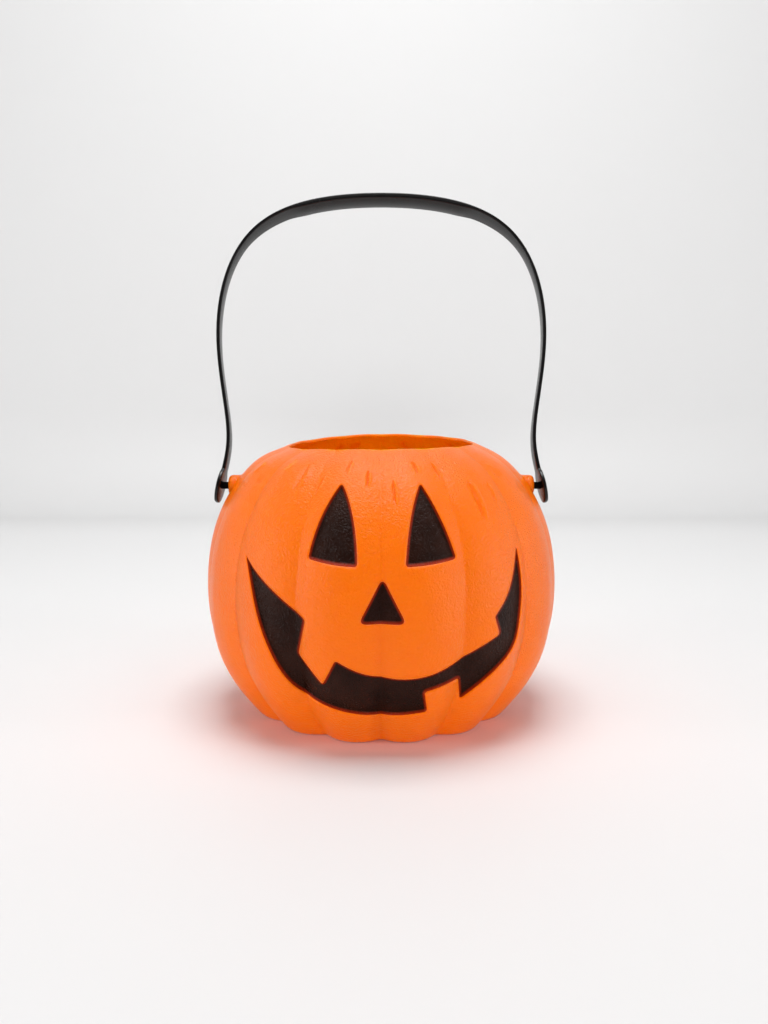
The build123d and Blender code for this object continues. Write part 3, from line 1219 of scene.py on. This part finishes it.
@dataclass
class CarryHandle:
    """Strap handle with its flared grip, its end discs and the pins that snap into the bosses."""

    shell: PailShell
    lean: float = radians(18)
    disc_tilt: float = radians(12)
    strap_thickness: float = 2.5
    strap_width: float = 11.0
    least_half_width: float = 0.4
    neck_round: float = 1.2
    waist: Pair = (-4.3, 24.0)
    calf: Pair = (-2.2, 50.0)
    bulge: Pair = (3.8, 102.0)
    corner: Pair = (-13.7, 162.2)
    grip_rise: float = 189.7
    grip_length: float = 122.0
    grip_width: float = 15.2
    grip_thickness: float = 4.2
    grip_blend: float = 14.0
    grip_lead: float = 0.15
    flare_start_drop: float = 40.0
    flare_end_drop: float = 3.0
    edge_round: float = 0.8
    edge_turns: tuple[float, ...] = (15.0, 30.0, 45.0, 60.0, 75.0)
    face_points: int = 9
    crown: float = 0.1
    strap_bow: float = 0.25
    grip_bow: float = 0.9
    least_tip: float = 0.06
    probe: float = 0.05
    pin_radius: float = 2.2
    pin_end_play: float = 0.5
    pin_edge: float = 0.3
    pin_around: int = 48
    snap_lip: float = 0.8
    snap_length: float = 3.2
    snap_draft: float = radians(20)
    stations: tuple[tuple[float, int], ...] = ((2.0, 10), (17.0, 30), (24.0, 30), (170.0, 80))
    grip_stations: int = 100

    def _path(self) -> Array:
        """Return the strap's middle line as reach along X and rise from the hinge, end to end."""
        reach = self.shell.disc_face + self.strap_thickness / 2.0
        radius = self.shell.disc_radius
        slant = radius * tan(self.disc_tilt)
        leg = [(reach + slant, -radius), (reach, 0.0), (reach - slant, radius)]
        leg += [(reach + out, rise) for out, rise in (self.waist, self.calf, self.bulge, self.corner)]
        other = [(-out, rise) for out, rise in reversed(leg)]
        return spline_points(np.array(leg + [(0.0, self.grip_rise)] + other), CURVE_POINTS)

    def _half_width(self, rise: Array) -> Array:
        """Return half the strap's width at heights above the hinge."""
        radius = self.shell.disc_radius
        half = self.strap_width / 2.0
        centre = half + self.neck_round
        neck_top = np.sqrt((radius + self.neck_round) ** 2 - centre**2)
        neck_foot = neck_top * radius / (radius + self.neck_round)
        disc = np.sqrt(np.maximum(radius**2 - rise**2, 0.0))
        neck = centre - np.sqrt(np.maximum(self.neck_round**2 - (rise - neck_top) ** 2, 0.0))
        start = self.grip_rise - self.flare_start_drop
        flare = ease((rise - start) / (self.flare_start_drop - self.flare_end_drop))
        strap = half + (self.grip_width / 2.0 - half) * flare
        found = np.where(rise < neck_foot, disc, np.where(rise < neck_top, neck, strap))
        return np.maximum(found, self.least_half_width)

    def _section(self, outer: float, inner: float, half: float, bow: float) -> Array:
        """Return a ring round the strap as distance outwards and across, one point a row.

        Args:
            outer: Distance of the outer face from the middle line.
            inner: Distance of the inner face from it, below zero.
            half: Half the width.
            bow: How far the inner face rises from its middle to its edges.

        Returns:
            The points of the ring in order.
        """
        soft = min(self.edge_round, LARGEST_ROUND * half, LARGEST_ROUND * (outer - inner - bow))
        across = np.linspace(-1.0, 1.0, self.face_points)
        turn = np.radians(self.edge_turns)
        flat = half - soft
        edge = inner + bow
        top = np.stack([outer - self.crown * soft * across**2, across * flat], axis=1)
        right = np.stack([outer - soft * (1.0 - np.cos(turn)), flat + soft * np.sin(turn)], axis=1)
        side = np.array([[outer - soft, half], [edge + soft, half]])
        low_right = np.stack([edge + soft * (1.0 - np.sin(turn)), flat + soft * np.cos(turn)], axis=1)
        bottom = np.stack([inner + bow * across**2, -across * flat], axis=1)
        rounding = np.concatenate([right, side, low_right])
        return np.concatenate([top, rounding, bottom, rounding[::-1] * np.array([1.0, -1.0])])

    def _marks(self, end: float) -> Array:
        """Return the distances of the strap's rings along its path, close at the discs and the grip."""
        first = 0.0
        runs = []
        for last, count in self.stations:
            share = np.linspace(0.0, 1.0, count, endpoint=False)
            runs.append(first + (last - first) * (share**2 if first == 0.0 else share))
            first = last
        runs.append(np.linspace(first, end, self.grip_stations))
        near = np.concatenate(runs)
        return np.concatenate([near, 2.0 * end - near[-2::-1]])

    def _placed(self, local: Array) -> Array:
        """Return points given along X, across the strap and up the leaning handle, in the pail's frame."""
        reach, across, rise = np.moveaxis(local, -1, 0)
        back = rise * sin(self.lean) - across * cos(self.lean)
        up = self.shell.pivot_height + across * sin(self.lean) + rise * cos(self.lean)
        return np.stack([reach, back, up], axis=-1)

    def build(self) -> Piece:
        """Return the strap, its grip, its discs and its pins as one object."""
        path = self._path()
        end = arc_lengths(path)[-1] / 2.0
        distance = self._marks(end)
        points = along(path, distance)
        runs = along(path, distance + self.probe) - along(path, distance - self.probe)
        runs /= np.linalg.norm(runs, axis=1)[:, None]
        outward = np.stack([-runs[:, 1], runs[:, 0]], axis=1)
        outward *= np.sign(outward[len(outward) // 2, 1])
        half = self._half_width(points[:, 1])
        from_middle = np.abs(distance - end)
        gripping = ease((self.grip_length / 2.0 - from_middle) / self.grip_blend + self.grip_lead)
        from_tip = np.minimum((end - from_middle) / self.edge_round, 1.0)
        close = np.sqrt(np.clip(1.0 - (1.0 - from_tip) ** 2, self.least_tip, 1.0))
        outer = self.strap_thickness / 2.0 * close
        inner = -outer - (self.grip_thickness - self.strap_thickness) * gripping
        bow = (self.strap_bow + (self.grip_bow - self.strap_bow) * gripping) * close
        rings = []
        for i, point in enumerate(points):
            section = self._section(outer[i], inner[i], half[i], bow[i])
            flat = point + section[:, :1] * outward[i]
            rings.append(np.stack([flat[:, 0], section[:, 1], flat[:, 1]], axis=1))
        strap = self._placed(np.array(rings))
        draft = MeshDraft()
        draft.add_tube(strap, strap[0].mean(axis=0), strap[-1].mean(axis=0))
        draft.add_turned(self._pin_rings(), self.shell.pivot_height, self.pin_around)
        return draft.make("strap_handle")

    def _pin_rings(self) -> list[tuple[float, float]]:
        """Return radius and reach of a pin's rings, from the strap to the tip of its snap head."""
        start = self.shell.boss_reach - self.shell.form.wall - self.pin_end_play
        lip = self.pin_radius + self.snap_lip
        tip = lip - self.snap_length * tan(self.snap_draft)
        soft = self.pin_edge
        return [
            (self.pin_radius, self.shell.disc_face + self.strap_thickness / 2.0),
            (self.pin_radius, start + soft),
            (self.pin_radius + soft, start),
            (lip - soft, start),
            (lip, start - soft),
            (tip + soft, start - self.snap_length + soft),
            (tip - soft, start - self.snap_length),
        ]


# Studio


@dataclass(frozen=True)
class SoftLight:
    """A square lamp that points at the pail, placed in metres."""

    name: str
    place: Triple
    size: float
    watts: float
    mirrored: bool = True

    def build(self, target: Triple) -> None:
        """Hang the lamp and turn it to a target."""
        lamp = bpy.data.lights.new(self.name, "AREA")
        lamp.shape = "SQUARE"
        lamp.size = self.size
        lamp.energy = self.watts
        holder = link_object(self.name, lamp)
        holder.location = self.place
        aim = np.array(target) - np.array(self.place)
        flat = float(np.hypot(aim[0], aim[1]))
        turn = np.arctan2(-aim[0], aim[1]) if flat > TINY else 0.0
        holder.rotation_euler = (np.arctan2(flat, -aim[2]), 0.0, turn)
        holder.visible_glossy = self.mirrored
        holder.visible_camera = False


@dataclass
class Studio:
    """Pale sweep, soft lamps, white surroundings and the camera, all in metres."""

    floor_colour: Triple = (0.73, 0.73, 0.73)
    # darker than the floor: painted shade for the upright backdrop, which gets less light
    shaded_wall_colour: Triple = (0.6, 0.6, 0.6)
    floor_roughness: float = 0.55
    floor_gloss: float = 0.3
    floor_front: float = -1.3
    floor_back: float = 0.72
    bend_radius: float = 0.14
    bend_steps: int = 24
    wall_top: float = 3.0
    half_width: float = 1.4
    card_colour: Triple = (0.02, 0.02, 0.02)
    card_roughness: float = 1.0
    card_distance: float = 1.35
    card_half_width: float = 1.7
    card_foot: float = 0.01
    card_height: float = 1.7
    surroundings: float = 0.93
    ambient: float = 0.18
    target: Triple = (0.0, 0.0, 0.1)
    lamps: tuple[SoftLight, ...] = (
        SoftLight("overhead_softbox", (0.0, 0.0, 1.5), 0.8, 19.5),
        SoftLight("left_softbox", (-1.3, -0.4, 0.24), 0.4, 6.3),
        SoftLight("right_softbox", (1.3, -0.4, 0.24), 0.4, 5.9),
        SoftLight("front_fill", (0.0, -2.4, 0.34), 0.7, 34.0, mirrored=False),
    )
    eye: Triple = (0.0017, -0.600, 0.2125)
    pitch: float = radians(8.74)
    image_height: float = 1024.0
    focal_pixels: float = 973.3
    sensor_height: float = 36.0
    nearest: float = 0.01

    def build(self) -> None:
        """Set up the whole studio."""
        self._sweep()
        self._dark_card()
        self._surround()
        for lamp in self.lamps:
            lamp.build(self.target)
        self._camera()
        bpy.context.scene.view_settings.view_transform = "Standard"
        LOG.info("studio: %d lamps, camera %.0f mm in front of the pail", len(self.lamps), -self.eye[1] / MM)

    @staticmethod
    def _sheet(name: str, line: Array, half_width: float, material: Material) -> Piece:
        """Return a sheet of the studio.

        Args:
            name: Name of the sheet.
            line: Its edge as Y and Z, one point a row.
            half_width: How far it reaches to the left and right.
            material: What it is made of.

        Returns:
            The sheet's object.
        """
        grid = np.empty((len(line), 2, 3))
        grid[..., 0] = -half_width, half_width
        grid[..., 1:] = line[:, None]
        draft = MeshDraft()
        draft.add_grid(grid / MM, around=False)
        sheet = draft.make(name)
        sheet.data.materials.append(material)
        return sheet

    def _sweep(self) -> None:
        """Lay the floor, which bends up into the backdrop, where a darker colour paints in the shade that the
        upright part gets.
        """
        paper, tree, shader = new_material("backdrop_paper")
        shader.inputs["Roughness"].default_value = self.floor_roughness
        shader.inputs["Specular IOR Level"].default_value = self.floor_gloss
        place = tree.nodes.new("ShaderNodeTexCoord")
        parts = tree.nodes.new("ShaderNodeSeparateXYZ")
        tree.links.new(place.outputs["Object"], parts.inputs["Vector"])
        share = tree.nodes.new("ShaderNodeMapRange")
        share.interpolation_type = "SMOOTHSTEP"
        share.inputs["From Min"].default_value = self.floor_back - self.bend_radius
        share.inputs["From Max"].default_value = self.floor_back + self.bend_radius
        tree.links.new(parts.outputs["Y"], share.inputs["Value"])
        # floor colour blends into the darker wall colour across the bend: painted shade on the upright part
        tone = mixed_colour(tree, share.outputs["Result"])
        tone.inputs["A"].default_value = (*self.floor_colour, 1.0)
        tone.inputs["B"].default_value = (*self.shaded_wall_colour, 1.0)
        tree.links.new(tone.outputs["Result"], shader.inputs["Base Color"])
        bend = np.linspace(0.0, pi / 2.0, self.bend_steps)
        back = self.floor_back + self.bend_radius * np.sin(bend)
        curve = np.stack([back, self.bend_radius * (1.0 - np.cos(bend))], axis=1)
        top = (self.floor_back + self.bend_radius, self.wall_top)
        line = np.array([(self.floor_front, 0.0), (0.0, 0.0), *curve, top])
        self._sheet("floor_sweep", line, self.half_width, paper)

    def _dark_card(self) -> None:
        """Stand a dark card behind the camera, which only glossy plastic mirrors."""
        cloth, _, shader = new_material("dark_card_cloth")
        shader.inputs["Base Color"].default_value = (*self.card_colour, 1.0)
        shader.inputs["Roughness"].default_value = self.card_roughness
        line = np.array([(-self.card_distance, self.card_foot), (-self.card_distance, self.card_height)])
        card = self._sheet("dark_card", line, self.card_half_width, cloth)
        card.visible_camera = False
        card.visible_diffuse = False
        card.visible_shadow = False
        card.visible_transmission = False

    def _surround(self) -> None:
        """Surround the studio with white where it is seen or mirrored, and with softer light elsewhere."""
        world = bpy.data.worlds.new("studio_white")
        bpy.context.scene.world = world
        world.use_nodes = True
        tree = world.node_tree
        shade = next(node for node in tree.nodes if node.type == "BACKGROUND")
        shade.inputs["Color"].default_value = (1.0, 1.0, 1.0, 1.0)
        path = tree.nodes.new("ShaderNodeLightPath")
        seen = path.outputs["Is Camera Ray"]
        for name in ("Is Glossy Ray", "Is Transmission Ray"):
            either = tree.nodes.new("ShaderNodeMath")
            either.operation = "MAXIMUM"
            tree.links.new(seen, either.inputs[0])
            tree.links.new(path.outputs[name], either.inputs[1])
            seen = either.outputs[0]
        level = tree.nodes.new("ShaderNodeMapRange")
        level.inputs["To Min"].default_value = self.ambient
        level.inputs["To Max"].default_value = self.surroundings
        tree.links.new(seen, level.inputs["Value"])
        tree.links.new(level.outputs["Result"], shade.inputs["Strength"])

    def _camera(self) -> None:
        """Place the camera at the photograph's angle."""
        lens = bpy.data.cameras.new("front_camera")
        lens.sensor_fit = "VERTICAL"
        lens.sensor_height = self.sensor_height
        lens.lens = self.focal_pixels / self.image_height * self.sensor_height
        lens.clip_start = self.nearest
        holder = link_object("front_camera", lens)
        holder.location = self.eye
        holder.rotation_euler = (pi / 2.0 - self.pitch, 0.0, 0.0)
        bpy.context.scene.camera = holder


def main() -> None:
    """Build the pail, its face, its handle and the studio in order."""
    logging.basicConfig(level=logging.INFO, format="%(name)s: %(message)s")
    groups = SharedGroups()
    form = ShellForm()
    shell = PailShell(form, FaceOutlines(form))
    seat(shell.build(), Body.PAIL, ORANGE_PLASTIC.material(groups), "pail_shell")
    paint = BLACK_PAINT.material(groups)
    films = FacePaint(shell)
    for node in shell.loops:
        seat(films.build(node), Body.PAIL, paint, node)
    handle = CarryHandle(shell)
    seat(handle.build(), Body.HANDLE, BLACK_PLASTIC.material(groups), "carry_handle")
    Studio().build()


if __name__ == "__main__":
    main()
